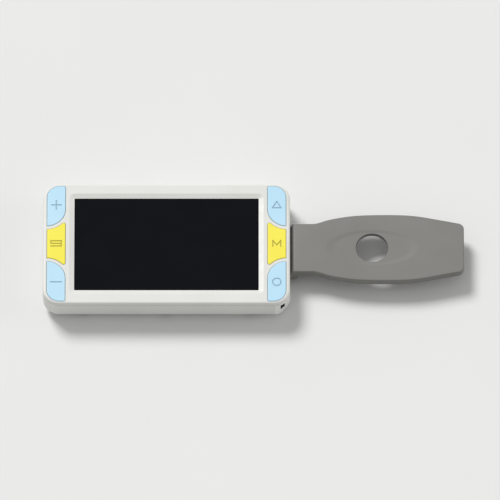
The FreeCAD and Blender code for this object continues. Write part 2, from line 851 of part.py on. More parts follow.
def screw(x, y, d_head, direction, head, head_radius, radius, length):
    """A pan head screw with a crossed recess. The shank runs from d_head along direction."""
    low, high = sorted((d_head, d_head - direction * head))
    cap = post(x, y, head_radius, low, high)
    outer = low if direction > 0 else high
    cap = round_edges(cap, head * 0.35, edge_at(outer))
    start, end = sorted((d_head, d_head + direction * length))
    shank = post(x, y, radius, start, end)
    arm, slot, deep = head_radius * 0.55, head_radius * 0.14, head * 0.55
    face_in, face_out = sorted((outer, outer + direction * deep))
    cross = [box(x - arm, x + arm, y - slot, y + slot, face_in, face_out),
             box(x - slot, x + slot, y - arm, y + arm, face_in, face_out)]
    return cap.fuse(shank).cut(cross).removeSplitter()


def case_screws():
    return [screw(x, y, seat_depth, -1, screw_head, screw_head_radius, screw_radius,
                  screw_length) for x, y in screw_places()]


def board_screws():
    return [screw(x, y, board_top, 1, board_screw_head, board_screw_head_radius,
                  board_screw_radius, board_screw_length)
            for x, y in four(standoff_x, standoff_y)]


def camera_screws():
    return [screw(x, y, camera_board_top, 1, camera_screw_head, camera_screw_head_radius,
                  camera_screw_radius, camera_screw_length) for x, y in camera_screw_places()]


def chip(x, y, half_x, half_y, height):
    """A chip on the back of the main board."""
    return box(x - half_x, x + half_x, y - half_y, y + half_y, board_back, board_back + height)


def board_parts():
    """Coils, capacitors and small regulators on the back of the main board."""
    left, right = camera_x - 22.0, camera_x + 16.0
    made = [chip(left + 8 * i, board_half_h - 5.0, 2.0, 2.0, 2.0) for i in range(2)]
    row = battery_half_height - 3.75              # clear of the battery's plug
    made += [chip(left - 27 + 4.2 * i, row, 1.0, 0.6, 0.8) for i in range(9)]
    made += [chip(right + 4.2 * i, -16.0, 1.0, 0.6, 0.8) for i in range(5)]
    made += [chip(right + 10.0, -8 + 5 * i, 1.5, 1.2, 1.1) for i in range(5)]
    return made


def buzzer():
    x, y = camera_x + 24.0, board_half_h - 9.0
    disc = post(x, y, 4.5, board_back, board_back + 2.0)
    return disc.cut(post(x, y, 0.9, board_back + 1.4, board_back + 3.0))


# Battery, on the left where the folded handle doesn't reach

def battery_range():
    """The battery's two ends in X."""
    left = -cavity_x + 4.0
    pocket_end = hinge_x - handle_length - handle_gap - pocket_wall
    return left, min(pocket_end - battery_gap, left + 26.0)


def battery():
    left, right = battery_range()
    low = shell_depth - wall - battery_pad
    cell = box(left, right, -battery_half_height, battery_half_height,
               low - battery_depth, low)
    return round_edges(cell, 1.4, lambda e: abs(e.BoundBox.YLength - 2 * battery_half_height) < 1e-6)


def battery_foam():
    left, right = battery_range()
    low = shell_depth - wall
    inset = 2.5
    return box(left + inset, right - inset, 6 - battery_half_height, battery_half_height - 6,
               low - battery_pad, low)


def lead(y, back_off):
    """One lead, straight out of the battery's end and round a bend to the plug."""
    _, right = battery_range()
    depth = board_back + 2.2
    bend = 1.5
    x, z = right - 5 - back_off, z_at(depth)
    start = V(x, battery_half_height, z)
    corner = V(x + bend, y - bend, z)
    turn = bend * math.sqrt(0.5)
    path = Part.Wire([
        Part.LineSegment(start, V(x, y - bend, z)).toShape(),
        Part.Arc(V(x, y - bend, z), corner + V(-turn, turn, 0), V(x + bend, y, z)).toShape(),
        Part.LineSegment(V(x + bend, y, z), V(right + 5, y, z)).toShape()])
    ring = Part.Wire([Part.Circle(start, V(0, 1, 0), lead_radius).toShape()])
    return path.makePipeShell([ring], True, False)


def battery_plug():
    _, right = battery_range()
    return box(right + 5, right + 11, battery_half_height + 0.6, battery_half_height + 4.8,
               board_back, board_back + 3.0)


# Camera

def camera_board():
    disc = post(camera_x, 0, camera_board_radius, camera_board_top, camera_board_back)
    tab = box(camera_x - camera_board_radius - 4, camera_x, -4.5, 4.5,
              camera_board_top, camera_board_back)
    holes = [post(x, y, camera_screw_radius + 0.1, camera_board_top - 1, camera_board_back + 1)
             for x, y in camera_screw_places()]
    return disc.fuse(tab).cut(holes).removeSplitter()


def lens_holder():
    half = lens_holder_size / 2
    base = rounded_box(half, half, 0.8, camera_board_back,
                       camera_board_back + lens_holder_height, camera_x, 0)
    return base.cut(post(camera_x, 0, lens_barrel_radius - 0.5, camera_board_back - 1,
                         camera_board_back + lens_holder_height + 1))


def lens_barrel():
    low = camera_board_back + lens_holder_height
    tube = post(camera_x, 0, lens_barrel_radius, low, low + lens_barrel_height)
    return tube.cut(post(camera_x, 0, lens_radius, low - 1, low + lens_barrel_height + 1))


def camera_lens():
    low = camera_board_back + lens_holder_height
    centre = z_at(low) + 3.4
    ball = Part.makeSphere(4.0, V(camera_x, 0, centre))
    return ball.common(post(camera_x, 0, lens_radius, low, low + lens_barrel_height))


def camera_window():
    return post(camera_x, 0, camera_window_radius, camera_window_top, pocket_floor)


def camera_lamps():
    """Four white lamps round the lens."""
    half = led_size / 2
    made = []
    for turn in (0, 90, 180, 270):
        x = camera_x + led_circle * math.cos(math.radians(turn))
        y = led_circle * math.sin(math.radians(turn))
        lamp = box(x - half, x + half, y - half, y + half,
                   camera_board_back, camera_board_back + led_height)
        well = post(x, y, half - 0.4, camera_board_back + led_height - 0.15,
                    camera_board_back + led_height + 1)
        made.append(lamp.cut(well))
    return made


def camera_flex():
    start = camera_x - camera_board_radius - 4
    return box(start - 9, start, -3.5, 3.5, camera_board_top + 0.2, camera_board_top + 0.4)


def camera_connector():
    end = camera_x - camera_board_radius - 13
    return box(end - 3.5, end, -5.0, 5.0, board_back, board_back + 1.4)


# Sockets, feet, hinge hardware

def usb_port():
    """A sheet metal shell, open towards the top side."""
    end = half_h - usb_recess
    middle, high = usb_middle(), usb_height / 2
    along_y = lambda e: e.BoundBox.XLength < 1e-6 and e.BoundBox.ZLength < 1e-6
    shell = box(usb_x - usb_width / 2, usb_x + usb_width / 2, end - usb_length, end,
                middle - high, middle + high)
    shell = round_edges(shell, high - 0.1, along_y)
    inner_x, inner_z = usb_width / 2 - usb_sheet, high - usb_sheet
    hollow = box(usb_x - inner_x, usb_x + inner_x, end - usb_length + 1.2, end + 1,
                 middle - inner_z, middle + inner_z)
    return shell.cut(round_edges(hollow, inner_z - 0.1, along_y))


def usb_tongue():
    end = half_h - usb_recess
    middle = usb_middle()
    return box(usb_x - 3.3, usb_x + 3.3, end - usb_length + 1.2, end - 1.2,
               middle - tongue_thickness / 2, middle + tongue_thickness / 2)


def av_jack():
    end = half_h - 1.0
    nose = end - jack_nose
    middle = jack_middle()
    body = box(jack_x - jack_width / 2, jack_x + jack_width / 2, nose - jack_length, nose,
               middle - jack_height / 2, middle + jack_height / 2)
    tube = rod(jack_x, middle, min(jack_nose_radius, jack_height / 2), nose, end)
    bore = rod(jack_x, middle, jack_bore, end - jack_bore_length, end + 1)
    return body.fuse(tube).cut(bore).removeSplitter()


def charge_lamp():
    """The light pipe that shows charging, in the top side."""
    return rod(lamp_x, lamp_middle(), lamp_radius, board_half_h + 1, half_h)


def rubber_feet():
    pads = []
    for x, y in foot_places():
        pad = post(x, y, foot_radius, shell_depth - foot_recess, front_z)
        pads.append(round_edges(pad, 0.4, edge_at(front_z)))
    return pads


def hinge_pin():
    reach = neck_half + handle_gap + pin_hold
    return rod(hinge_x, hinge_depth, hinge_pin_radius, -reach, reach)


def hinge_washers():
    """A friction washer at each end of the barrel."""
    start = neck_half + (handle_gap - washer_thickness) / 2
    disc = rod(hinge_x, hinge_depth, barrel_radius - 0.2, start, start + washer_thickness)
    disc = disc.cut(rod(hinge_x, hinge_depth, hinge_pin_radius, 0, half_h))
    return [disc, mirror_y(disc)]


def all_parts():
    parts = {
        "front_cover": front_cover(),
        "rear_shell": rear_shell(),
        "display_window": display_window(),
        "display_gasket": display_gasket(),
        "lcd_glass": lcd_glass(),
        "lcd_frame": lcd_frame(),
        "lcd_flex": lcd_flex(),
        "lcd_connector": lcd_connector(),
        "main_board": main_board(),
        "processor": chip(camera_x - 36.3, 8.0, 7.0, 7.0, 1.2),
        "memory_chip": chip(camera_x - 33.8, -10.0, 4.5, 6.0, 1.0),
        "power_chip": chip(camera_x + 18.2, 8.0, 3.0, 3.0, 0.9),
        "board_parts": board_parts(),
        "buzzer": buzzer(),
        "left_key_board": key_board(-1),
        "right_key_board": key_board(1),
        "switch_housings": switch_housings(),
        "battery": battery(),
        "battery_foam": battery_foam(),
        "battery_lead_red": lead(battery_half_height + 1.8, 0),
        "battery_lead_black": lead(battery_half_height + 3.6, 2.2),
        "battery_plug": battery_plug(),
        "camera_board": camera_board(),
        "lens_holder": lens_holder(),
        "lens_barrel": lens_barrel(),
        "camera_lens": camera_lens(),
        "camera_window": camera_window(),
        "camera_lamps": camera_lamps(),
        "camera_flex": camera_flex(),
        "camera_connector": camera_connector(),
        "camera_screws": camera_screws(),
        "board_screws": board_screws(),
        "case_screws": case_screws(),
        "usb_port": usb_port(),
        "usb_tongue": usb_tongue(),
        "av_jack": av_jack(),
        "charge_lamp": charge_lamp(),
        "rubber_feet": rubber_feet(),
        "strap_post": strap_post(),
        "strap_eyelet": strap_eyelet(),
        "hinge_pin": hinge_pin(),
        "hinge_washers": hinge_washers(),
        "handle": handle(),
    }
    for name in KEYS:
        parts[name] = key_cap(name)
        parts[name.replace("key_", "stem_")] = switch_stem(name)
    return parts


def save(name, shape):
    """Writes one node. A list becomes one node of separate solids."""
    solids = shape if isinstance(shape, list) else shape.Solids
    whole = Part.makeCompound(solids) if len(solids) > 1 else solids[0]
    whole = whole.copy()
    whole.translate(V(-origin_x, 0, 0))
    whole.exportStep("parts/" + name + ".step")
    return len(solids)


def main():
    os.makedirs("parts", exist_ok=True)
    parts = all_parts()
    for name, shape in parts.items():
        count = save(name, shape)
        print(name, count)
    print("nodes", len(parts))


if __name__ == "__main__":
    main()
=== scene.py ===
# Hand-held video magnifier for low vision, lying on a pale table with its handle folded out
import bpy, bmesh, json, math
from functools import partial
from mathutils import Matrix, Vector


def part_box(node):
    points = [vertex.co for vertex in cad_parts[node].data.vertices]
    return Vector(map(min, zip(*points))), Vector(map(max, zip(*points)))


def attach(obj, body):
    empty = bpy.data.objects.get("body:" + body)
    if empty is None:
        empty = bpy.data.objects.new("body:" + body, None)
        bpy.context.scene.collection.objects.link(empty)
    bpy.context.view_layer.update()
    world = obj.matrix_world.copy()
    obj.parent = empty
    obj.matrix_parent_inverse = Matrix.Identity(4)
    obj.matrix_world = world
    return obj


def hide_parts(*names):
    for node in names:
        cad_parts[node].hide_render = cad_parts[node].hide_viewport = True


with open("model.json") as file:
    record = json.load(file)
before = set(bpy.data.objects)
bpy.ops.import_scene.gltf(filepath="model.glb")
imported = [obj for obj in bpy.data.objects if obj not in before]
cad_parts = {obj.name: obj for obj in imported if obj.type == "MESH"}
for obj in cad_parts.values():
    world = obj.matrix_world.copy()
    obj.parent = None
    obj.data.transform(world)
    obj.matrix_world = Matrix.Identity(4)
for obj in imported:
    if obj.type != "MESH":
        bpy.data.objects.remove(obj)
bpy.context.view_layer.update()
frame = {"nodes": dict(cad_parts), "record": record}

nodes = frame["nodes"]
record = frame["record"]
bodyOf = {n: b for b, group in record["behaviour"]["bodies"].items() for n in group}
mm = 0.001
print("frame loaded:", len(nodes), "parts")


def linear(hexColour, alpha=1.0):  # sRGB hex to the linear values that sockets take
    parts = [int(hexColour[i:i + 2], 16) / 255 for i in (1, 3, 5)]
    return tuple(p / 12.92 if p <= 0.04045 else ((p + 0.055) / 1.055) ** 2.4 for p in parts) + (alpha,)


def addNode(tree, kind, inputs=None, **settings):
    # One node. An input takes a value, a socket, another node's first output, or a list of nodes
    node = tree.nodes.new(kind)
    for name, value in settings.items():
        setattr(node, name, value)
    for key, given in (inputs or {}).items():
        live = [s for s in node.inputs if s.enabled]
        socket = node.inputs[key] if isinstance(key, int) else next(s for s in live if s.name == key)
        for value in given if isinstance(given, list) else [given]:
            if isinstance(value, bpy.types.Node):
                value = next(s for s in value.outputs if s.enabled)
            if isinstance(value, bpy.types.NodeSocket):
                tree.links.new(value, socket)
            else:
                socket.default_value = value
    return node


def perSize(sizeMm):  # texture scale for a feature of this size, on coordinates in metres
    return 1000.0 / sizeMm


def perBand(sizeMm, phase):  # wave texture scale for one band in this size; phase is its run per metre
    return perSize(sizeMm) * 2 * math.pi / phase


def middle(node):
    low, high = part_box(node)
    return (low + high) / 2


def newMaterial(name):
    material = bpy.data.materials.new(name)
    material.use_nodes = True
    material.node_tree.nodes.clear()
    add = partial(addNode, material.node_tree)
    return material, add, add("ShaderNodeTexCoord").outputs["Object"]


def endMaterial(material, add, sockets):
    add("ShaderNodeOutputMaterial", {"Surface": add("ShaderNodeBsdfPrincipled", sockets)})
    return material


absMould = dict(
    grainMm=0.7,        # spark-eroded mould grain: the real 0.1 mm is too fine to show, so it is coarser
    grainDepthMm=0.010,
    speckMm=1.3,        # faint specks of pigment
    speckShare=0.10,
    cloudMm=38.0,       # slow change of shade across a moulding
    smudgeMm=9.0,       # where hands have polished it
    smudge=0.05,
    ior=1.53,
)


def absSockets(add, where, colour, deeper, roughness, grain=1.0):
    # ABS from a fine-textured mould: even satin colour, slight clouding, tiny grain that breaks highlights
    s = absMould
    cloud = add("ShaderNodeTexNoise", {"Vector": where, "Scale": perSize(s["cloudMm"]), "Detail": 3.0})
    cloudy = add("ShaderNodeMapRange", {0: cloud, 1: 0.35, 2: 0.65, 3: 0.0, 4: 1.0})
    base = add("ShaderNodeMix", {"Factor": cloudy, "A": linear(colour), "B": linear(deeper)},
               data_type="RGBA")
    speck = add("ShaderNodeTexNoise", {"Vector": where, "Scale": perSize(s["speckMm"]), "Detail": 2.0})
    specks = add("ShaderNodeMapRange", {0: speck, 1: 0.3, 2: 0.7, 3: 0.0, 4: s["speckShare"]})
    base = add("ShaderNodeMix", {"Factor": specks, "A": base, "B": linear(deeper)}, data_type="RGBA")
    hands = add("ShaderNodeTexNoise", {
        "Vector": where, "Scale": perSize(s["smudgeMm"]), "Detail": 4.0, "Roughness": 0.6})
    rough = add("ShaderNodeMapRange", {
        0: hands, 1: 0.3, 2: 0.7, 3: roughness - s["smudge"], 4: roughness + s["smudge"]})
    pits = add("ShaderNodeTexVoronoi", {"Vector": where, "Scale": perSize(s["grainMm"])})
    fine = add("ShaderNodeTexNoise", {
        "Vector": where, "Scale": perSize(s["grainMm"] * 1.6), "Detail": 3.0, "Roughness": 0.65})
    height = add("ShaderNodeMath", {0: pits, 1: 0.6, 2: fine}, operation="MULTIPLY_ADD")
    bump = add("ShaderNodeBump", {
        "Height": height, "Distance": s["grainDepthMm"] * grain * mm, "Strength": 0.8})
    return {"Base Color": base, "Roughness": rough, "Normal": bump, "IOR": s["ior"]}


def plainAbs(name, colour, deeper, roughness, grain):
    material, add, where = newMaterial(name)
    return endMaterial(material, add, absSockets(add, where, colour, deeper, roughness, grain))


caseLook = dict(
    colour="#E4E4E0", deeper="#DFDFDA", roughness=0.44,
    seamShadeColour="#8C8C86", seamHalfMm=0.05, seamFadeMm=0.22,   # painted shade of a hair-line gap where the two halves meet
    seamDepthMm=0.12,
    dustMm=5.0, dust=(0.45, 0.75),                      # dust makes the painted shade uneven
)


def caseMaterial(name):
    # Off-white case of the same ABS, with a painted hair line of shadow, made uneven by dust, between its
    # halves
    s = caseLook
    material, add, where = newMaterial(name)
    sockets = absSockets(add, where, s["colour"], s["deeper"], s["roughness"])
    height = add("ShaderNodeSeparateXYZ", {0: where}).outputs["Z"]
    away = add("ShaderNodeMath", {0: height, 1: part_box("rear_shell")[1].z}, operation="SUBTRACT")
    away = add("ShaderNodeMath", {0: away}, operation="ABSOLUTE")
    line = add("ShaderNodeMapRange", {
        0: away, 1: s["seamHalfMm"] * mm, 2: s["seamFadeMm"] * mm, 3: 1.0, 4: 0.0})
    facing = add("ShaderNodeSeparateXYZ", {0: add("ShaderNodeTexCoord").outputs["Normal"]}).outputs["Z"]
    facing = add("ShaderNodeMath", {0: facing}, operation="ABSOLUTE")
    upright = add("ShaderNodeMapRange", {0: facing, 1: 0.2, 2: 0.5, 3: 1.0, 4: 0.0})
    line = add("ShaderNodeMath", {0: line, 1: upright}, operation="MULTIPLY", use_clamp=True)
    dust = add("ShaderNodeTexNoise", {"Vector": where, "Scale": perSize(s["dustMm"]), "Detail": 3.0})
    dust = add("ShaderNodeMapRange", {0: dust, 1: 0.3, 2: 0.7, 3: s["dust"][0], 4: s["dust"][1]})
    # painted shade: the colour darkens along the line where the halves meet, scaled by the dust noise
    paintedSeamShade = add("ShaderNodeMath", {0: line, 1: dust}, operation="MULTIPLY")
    sockets["Base Color"] = add("ShaderNodeMix", {
        "Factor": paintedSeamShade, "A": sockets["Base Color"], "B": linear(s["seamShadeColour"])}, data_type="RGBA")
    sockets["Normal"] = add("ShaderNodeBump", {
        "Height": line, "Distance": -s["seamDepthMm"] * mm, "Strength": 1.0, "Normal": sockets["Normal"]})
    return endMaterial(material, add, sockets)


keyLook = dict(
    roughness=0.40, grain=0.7,
    sunkFloorMm=0.18,         # below the top by this much and nearly level: the floor of a sunk symbol
    levelFrom=0.93,
    patchMm=1.2, fainterFloor=0.8,
)


def keyMaterial(name, colour, deeper, ink, top):
    # Key caps: the same plastic a little glossier; the floors of the sunk symbols are coloured darker,
    # unevenly
    s = keyLook
    material, add, where = newMaterial(name)
    sockets = absSockets(add, where, colour, deeper, s["roughness"], s["grain"])
    height = add("ShaderNodeSeparateXYZ", {0: where}).outputs["Z"]
    facing = add("ShaderNodeSeparateXYZ", {0: add("ShaderNodeTexCoord").outputs["Normal"]}).outputs["Z"]
    # the floors of the sunk symbols take the darker colour
    sunk = add("ShaderNodeMath", {0: height, 1: top - s["sunkFloorMm"] * mm}, operation="LESS_THAN")
    flat = add("ShaderNodeMath", {0: facing, 1: s["levelFrom"]}, operation="GREATER_THAN")
    floor = add("ShaderNodeMath", {0: sunk, 1: flat}, operation="MULTIPLY")
    patchy = add("ShaderNodeTexNoise", {"Vector": where, "Scale": perSize(s["patchMm"]), "Detail": 3.0})
    patchy = add("ShaderNodeMapRange", {0: patchy, 1: 0.3, 2: 0.7, 3: s["fainterFloor"], 4: 1.0})
    darkerFloor = add("ShaderNodeMath", {0: floor, 1: patchy}, operation="MULTIPLY")
    sockets["Base Color"] = add("ShaderNodeMix", {
        "Factor": darkerFloor, "A": sockets["Base Color"], "B": linear(ink)}, data_type="RGBA")
    return endMaterial(material, add, sockets)


displayLook = dict(
    picture=("#0A0D12", "#0B0E14"), border="#07090C",
    hiddenMm=2.7,       # how far the pane runs under the case
    borderMm=0.9,       # blacker printed edge round the picture
    cellMm=1.1,         # picture cells, far coarser than real ones so that they show at all
    edgeFadeMm=0.1,
    filmMm=18.0,        # finger film
    roughness=(0.13, 0.18),
    ior=1.5, specular=0.11,     # the coating takes most of the reflection away
)


def displayMaterial(name):
    # Coated cover glass over an unlit panel: near black, a blacker printed edge, faint finger film
    s = displayLook
    material, add, where = newMaterial(name)
    low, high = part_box("display_window")
    parts = add("ShaderNodeSeparateXYZ", {0: where})
    beyond = []
    for axis in (0, 1):
        reach = (high[axis] - low[axis]) / 2 - (s["hiddenMm"] + s["borderMm"]) * mm
        off = add("ShaderNodeMath", {0: parts.outputs[axis], 1: middle("display_window")[axis]},
                  operation="SUBTRACT")
        off = add("ShaderNodeMath", {0: off}, operation="ABSOLUTE")
        beyond.append(add("ShaderNodeMapRange", {
            0: off, 1: reach, 2: reach + s["edgeFadeMm"] * mm, 3: 0.0, 4: 1.0}))
    edge = add("ShaderNodeMath", {0: beyond[0], 1: beyond[1]}, operation="MAXIMUM")
    cells = add("ShaderNodeTexChecker", {
        "Vector": where, "Scale": perSize(s["cellMm"]), "Color1": linear(s["picture"][0]),
        "Color2": linear(s["picture"][1])})
    black = add("ShaderNodeMix", {"Factor": edge, "A": cells, "B": linear(s["border"])}, data_type="RGBA")
    film = add("ShaderNodeTexNoise", {
        "Vector": where, "Scale": perSize(s["filmMm"]), "Detail": 4.0, "Roughness": 0.6})
    rough = add("ShaderNodeMapRange", {
        0: film, 1: 0.35, 2: 0.7, 3: s["roughness"][0], 4: s["roughness"][1]})
    return endMaterial(material, add, {
        "Base Color": black, "Roughness": rough, "IOR": s["ior"], "Specular IOR Level": s["specular"]})


metalLook = dict(stretch=0.04, cloudMm=4.0, lineDepthMm=0.004, smoother=0.08, rougher=0.10)


def metalMaterial(name, colour, deeper, roughness, brushMm=0.25, along=0):
    # Turned or drawn metal: fine lines along one way and a slight change of tone
    s = metalLook
    material, add, where = newMaterial(name)
    stretch = [1.0, 1.0, 1.0]
    stretch[along] = s["stretch"]
    lines = add("ShaderNodeMapping", {"Vector": where, "Scale": tuple(stretch)})
    brushed = add("ShaderNodeTexNoise", {
        "Vector": lines, "Scale": perSize(brushMm), "Detail": 3.0, "Roughness": 0.6})
    cloud = add("ShaderNodeTexNoise", {"Vector": where, "Scale": perSize(s["cloudMm"]), "Detail": 3.0})
    base = add("ShaderNodeMix", {"Factor": cloud, "A": linear(colour), "B": linear(deeper)}, data_type="RGBA")
    rough = add("ShaderNodeMapRange", {
        0: brushed, 1: 0.3, 2: 0.7, 3: roughness - s["smoother"], 4: roughness + s["rougher"]})
    bump = add("ShaderNodeBump", {"Height": brushed, "Distance": s["lineDepthMm"] * mm, "Strength": 0.6})
    return endMaterial(material, add, {
        "Base Color": base, "Metallic": 1.0, "Roughness": rough, "Normal": bump})


boardLook = dict(
    trackMm=0.16, fieldMm=(3.1, 1.3), copperMm=0.03,
    weaveMm=1.382, weaveShare=0.12,     # the real weave is finer than this, and would not show
    phase=10.0,                         # of a wave texture with diagonal bands
    patchMm=3.0, roughness=(0.26, 0.40),
)


def boardMaterial(name, mask, copper):
    # Glass-epoxy circuit board: solder mask over raised copper tracks, with the weave just showing
    s = boardLook
    material, add, where = newMaterial(name)
    tracks = add("ShaderNodeTexBrick", {
        "Vector": where, "Scale": 1.0, "Mortar Size": s["trackMm"] * mm, "Brick Width": s["fieldMm"][0] * mm,
        "Row Height": s["fieldMm"][1] * mm, "Mortar Smooth": 0.2, "Color1": linear(mask),
        "Color2": linear(mask), "Mortar": linear(copper)})
    weave = add("ShaderNodeTexWave", {
        "Vector": where, "Scale": perBand(s["weaveMm"], s["phase"]), "Distortion": 0.6, "Detail": 1.0},
        bands_direction="DIAGONAL")
    faint = add("ShaderNodeMath", {0: weave.outputs[1], 1: s["weaveShare"]}, operation="MULTIPLY")
    base = add("ShaderNodeMix", {"Factor": faint, "A": tracks, "B": linear(copper)}, data_type="RGBA")
    patches = add("ShaderNodeTexNoise", {"Vector": where, "Scale": perSize(s["patchMm"])})
    rough = add("ShaderNodeMapRange", {
        0: patches, 1: 0.3, 2: 0.7, 3: s["roughness"][0], 4: s["roughness"][1]})
    bump = add("ShaderNodeBump", {
        "Height": tracks.outputs[1], "Distance": s["copperMm"] * mm, "Strength": 0.8})
    return endMaterial(material, add, {
        "Base Color": base, "Roughness": rough, "Normal": bump, "IOR": 1.5,
        "Coat Weight": 0.3, "Coat Roughness": 0.2})


epoxyLook = dict(grainMm=0.3, grainDepthMm=0.012, patchMm=3.5, roughSpread=0.07)


def epoxyMaterial(name, colour, deeper, roughness):
    # Moulded epoxy, nylon or cable skin: matt, with a slightly sparkling grain
    s = epoxyLook
    material, add, where = newMaterial(name)
    grain = add("ShaderNodeTexNoise", {
        "Vector": where, "Scale": perSize(s["grainMm"]), "Detail": 4.0, "Roughness": 0.7})
    patches = add("ShaderNodeTexNoise", {"Vector": where, "Scale": perSize(s["patchMm"])})
    both = add("ShaderNodeMath", {0: grain, 1: patches}, operation="MULTIPLY")
    both = add("ShaderNodeMapRange", {0: both, 1: 0.1, 2: 0.4, 3: 0.0, 4: 1.0})
    base = add("ShaderNodeMix", {"Factor": both, "A": linear(colour), "B": linear(deeper)}, data_type="RGBA")
    rough = add("ShaderNodeMapRange", {
        0: grain, 1: 0.3, 2: 0.7, 3: roughness - s["roughSpread"], 4: roughness + s["roughSpread"]})
    bump = add("ShaderNodeBump", {"Height": grain, "Distance": s["grainDepthMm"] * mm, "Strength": 0.7})
    return endMaterial(material, add, {"Base Color": base, "Roughness": rough, "Normal": bump, "IOR": 1.52})


rubberLook = dict(poreMm=0.55, poreDepthMm=0.03, dustMm=2.4, dustShare=0.6, roughness=(0.70, 0.88))


def rubberMaterial(name, colour, deeper):
    # Soft silicone or foam rubber: dull, with dust caught in its pores
    s = rubberLook
    material, add, where = newMaterial(name)
    pores = add("ShaderNodeTexVoronoi", {"Vector": where, "Scale": perSize(s["poreMm"])})
    dust = add("ShaderNodeTexNoise", {
        "Vector": where, "Scale": perSize(s["dustMm"]), "Detail": 4.0, "Roughness": 0.7})
    share = add("ShaderNodeMapRange", {0: dust, 1: 0.35, 2: 0.75, 3: 0.0, 4: s["dustShare"]})
    base = add("ShaderNodeMix", {"Factor": share, "A": linear(colour), "B": linear(deeper)}, data_type="RGBA")
    rough = add("ShaderNodeMapRange", {
        0: dust, 1: 0.3, 2: 0.7, 3: s["roughness"][0], 4: s["roughness"][1]})
    bump = add("ShaderNodeBump", {"Height": pores, "Distance": s["poreDepthMm"] * mm, "Strength": 0.6})
    return endMaterial(material, add, {
        "Base Color": base, "Roughness": rough, "Normal": bump, "IOR": 1.45,
        "Sheen Weight": 0.15, "Sheen Roughness": 0.5})


flexLook = dict(
    film="#8A4A12", wire="#B8762A", shade="#5F300A",
    wireMm=1.974, wireDepthMm=0.02,     # wider apart than the real 0.5 mm, which would not show
    phase=20.0,                         # of a wave texture with bands across X
    shadeMm=4.0, shadeShare=0.25, roughness=0.28,
)


def flexMaterial(name):
    # Polyimide flat cable: amber film over a row of copper conductors
    s = flexLook
    material, add, where = newMaterial(name)
    scale = perBand(s["wireMm"], s["phase"])
    wires = add("ShaderNodeTexWave", {"Vector": where, "Scale": scale}, bands_direction="X").outputs[1]
    copper = add("ShaderNodeMapRange", {0: wires, 1: 0.4, 2: 0.6, 3: 0.0, 4: 1.0})
    base = add("ShaderNodeMix", {"Factor": copper, "A": linear(s["film"]), "B": linear(s["wire"])},
               data_type="RGBA")
    film = add("ShaderNodeTexNoise", {"Vector": where, "Scale": perSize(s["shadeMm"]), "Detail": 3.0})
    film = add("ShaderNodeMath", {0: film, 1: s["shadeShare"]}, operation="MULTIPLY")
    base = add("ShaderNodeMix", {"Factor": film, "A": base, "B": linear(s["shade"])}, data_type="RGBA")
    bump = add("ShaderNodeBump", {"Height": wires, "Distance": s["wireDepthMm"] * mm, "Strength": 0.5})
    return endMaterial(material, add, {
        "Base Color": base, "Roughness": s["roughness"], "Normal": bump, "IOR": 1.6,
        "Coat Weight": 0.5, "Coat Roughness": 0.15})


wrapLook = dict(
    colour="#2F5FA8", lighter="#3C70BC", roughness=0.3,
    wrinkleMm=2.6, wrinkleDepthMm=0.08, stretch=0.15,
)


def wrapMaterial(name):
    # Battery in blue heat-shrunk film: glossy, with long soft wrinkles
    s = wrapLook
    material, add, where = newMaterial(name)
    long = add("ShaderNodeMapping", {"Vector": where, "Scale": (1.0, s["stretch"], 1.0)})
    wrinkles = add("ShaderNodeTexNoise", {
        "Vector": long, "Scale": perSize(s["wrinkleMm"]), "Detail": 4.0, "Roughness": 0.55})
    base = add("ShaderNodeMix", {"Factor": wrinkles, "A": linear(s["colour"]), "B": linear(s["lighter"])},
               data_type="RGBA")
    bump = add("ShaderNodeBump", {"Height": wrinkles, "Distance": s["wrinkleDepthMm"] * mm, "Strength": 0.5})
    return endMaterial(material, add, {
        "Base Color": base, "Roughness": s["roughness"], "Normal": bump, "IOR": 1.5, "Coat Weight": 0.4})


clearLook = dict(
    filmMm=5.0, filmShare=0.3, rougher=0.03,
    ink="#0A0A0B", inkFadeMm=0.05, inkRoughness=0.25,
)


def clearMaterial(name, tint, roughness, inkFrom=None, centre=None):
    # Clear pane or lens that lets light through, with a printed black ring where one is asked for
    s = clearLook
    material, add, where = newMaterial(name)
    film = add("ShaderNodeTexNoise", {"Vector": where, "Scale": perSize(s["filmMm"]), "Detail": 3.0})
    share = add("ShaderNodeMath", {0: film, 1: s["filmShare"]}, operation="MULTIPLY")
    base = add("ShaderNodeMix", {"Factor": share, "A": linear(tint), "B": linear("#FFFFFF")},
               data_type="RGBA")
    rough = add("ShaderNodeMapRange", {
        0: film, 1: 0.3, 2: 0.7, 3: roughness, 4: roughness + s["rougher"]})
    clear = {"Base Color": base, "Roughness": rough, "IOR": 1.5, "Transmission Weight": 1.0}
    if inkFrom is None:
        return endMaterial(material, add, clear)
    off = add("ShaderNodeVectorMath", {0: where, 1: (centre.x, centre.y, 0)}, operation="SUBTRACT")
    flat = add("ShaderNodeVectorMath", {0: off, 1: (1, 1, 0)}, operation="MULTIPLY")
    radius = add("ShaderNodeVectorMath", {0: flat}, operation="LENGTH")
    ring = add("ShaderNodeMapRange", {
        0: radius, 1: inkFrom, 2: inkFrom + s["inkFadeMm"] * mm, 3: 0.0, 4: 1.0})
    ink = add("ShaderNodeBsdfPrincipled", {
        "Base Color": linear(s["ink"]), "Roughness": s["inkRoughness"]})
    both = add("ShaderNodeMixShader", {0: ring, 1: add("ShaderNodeBsdfPrincipled", clear), 2: ink})
    add("ShaderNodeOutputMaterial", {"Surface": both})
    return material


phosphorLook = dict(colour="#E8C64A", lighter="#F4DE86", gritMm=0.25, roughness=0.25)


def phosphorMaterial(name):
    # White lamp, unlit: yellow phosphor grit in clear resin
    s = phosphorLook
    material, add, where = newMaterial(name)
    grit = add("ShaderNodeTexNoise", {"Vector": where, "Scale": perSize(s["gritMm"]), "Detail": 3.0})
    base = add("ShaderNodeMix", {"Factor": grit, "A": linear(s["colour"]), "B": linear(s["lighter"])},
               data_type="RGBA")
    return endMaterial(material, add, {
        "Base Color": base, "Roughness": s["roughness"], "IOR": 1.52, "Coat Weight": 0.6,
        "Coat Roughness": 0.05})


